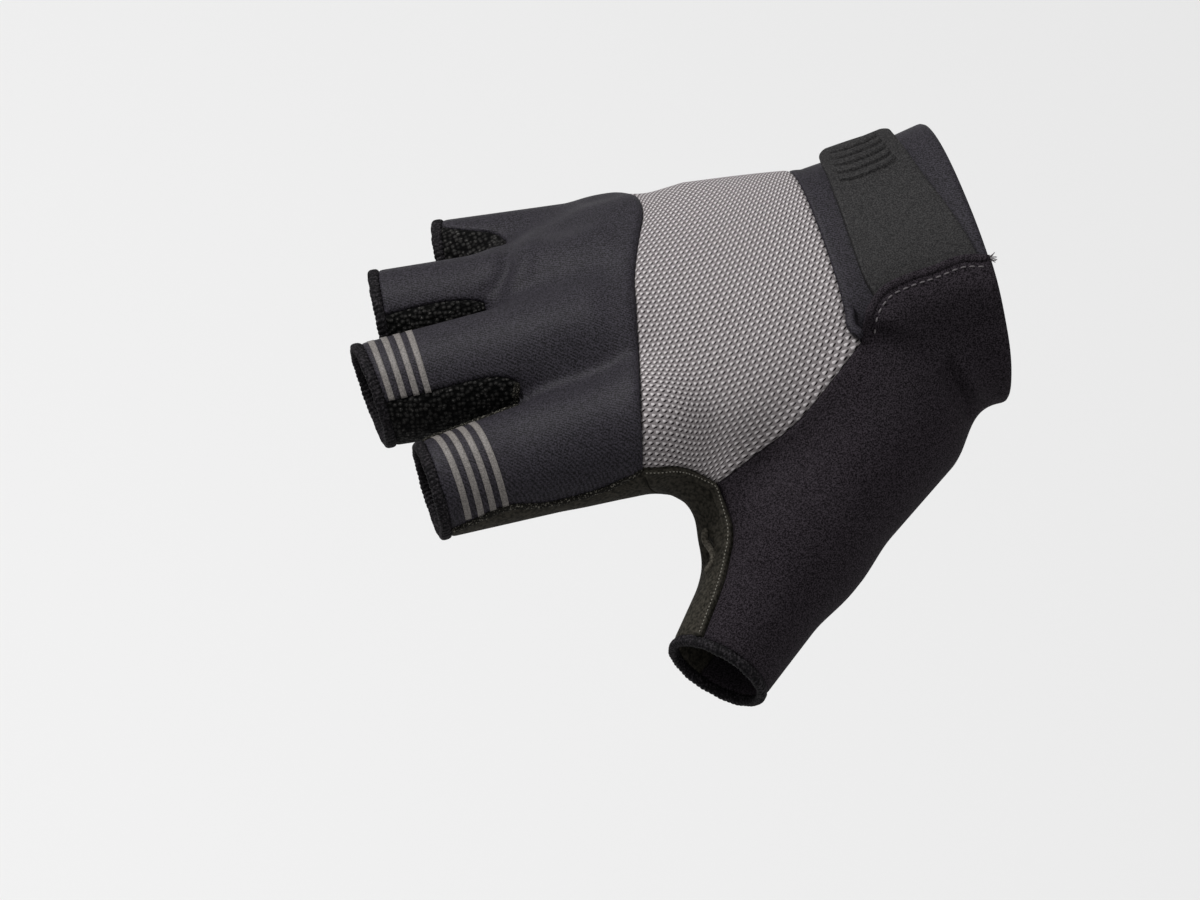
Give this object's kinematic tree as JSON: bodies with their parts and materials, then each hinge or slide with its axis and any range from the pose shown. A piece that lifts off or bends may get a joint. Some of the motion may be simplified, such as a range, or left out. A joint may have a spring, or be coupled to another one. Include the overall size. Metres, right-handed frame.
{
  "type": "cycling glove",
  "caption": "Fingerless cycling glove for the right hand in its worn form: smooth knuckles, mesh back, suede palm, fleece thumb, moulded strap at the wrist.",
  "frame": {"origin": "middle of the wrist opening, where the hand goes in", "axes": "+X out of the wrist opening towards the forearm, fingers along -X, +Z towards the back of the hand, thumb towards -Y"},
  "size_m": [0.1336, 0.1365, 0.0639],
  "materials": {
    "stretch": "smooth black stretch cloth",
    "mesh": "pale grey knitted mesh",
    "strap": "matt moulded rubber",
    "fleece": "black brushed fleece",
    "suede": "dark grey synthetic suede",
    "knit": "black terry knit"
  },
  "bodies": {
    "root": {"knuckle_panel": "stretch", "mesh_back_panel": "mesh", "cuff_band": "stretch", "closure_strap": "strap", "thumb_panel": "fleece", "thumb_panel_hem": "fleece", "thumb_gusset": "suede", "palm_panel": "suede", "fourchette_index_middle": "knit", "fourchette_middle_ring": "knit", "fourchette_ring_little": "knit", "hem_index": "knit", "hem_middle": "knit", "hem_ring": "knit", "hem_little": "knit", "hem_thumb": "knit"}
  },
  "joints": []
}
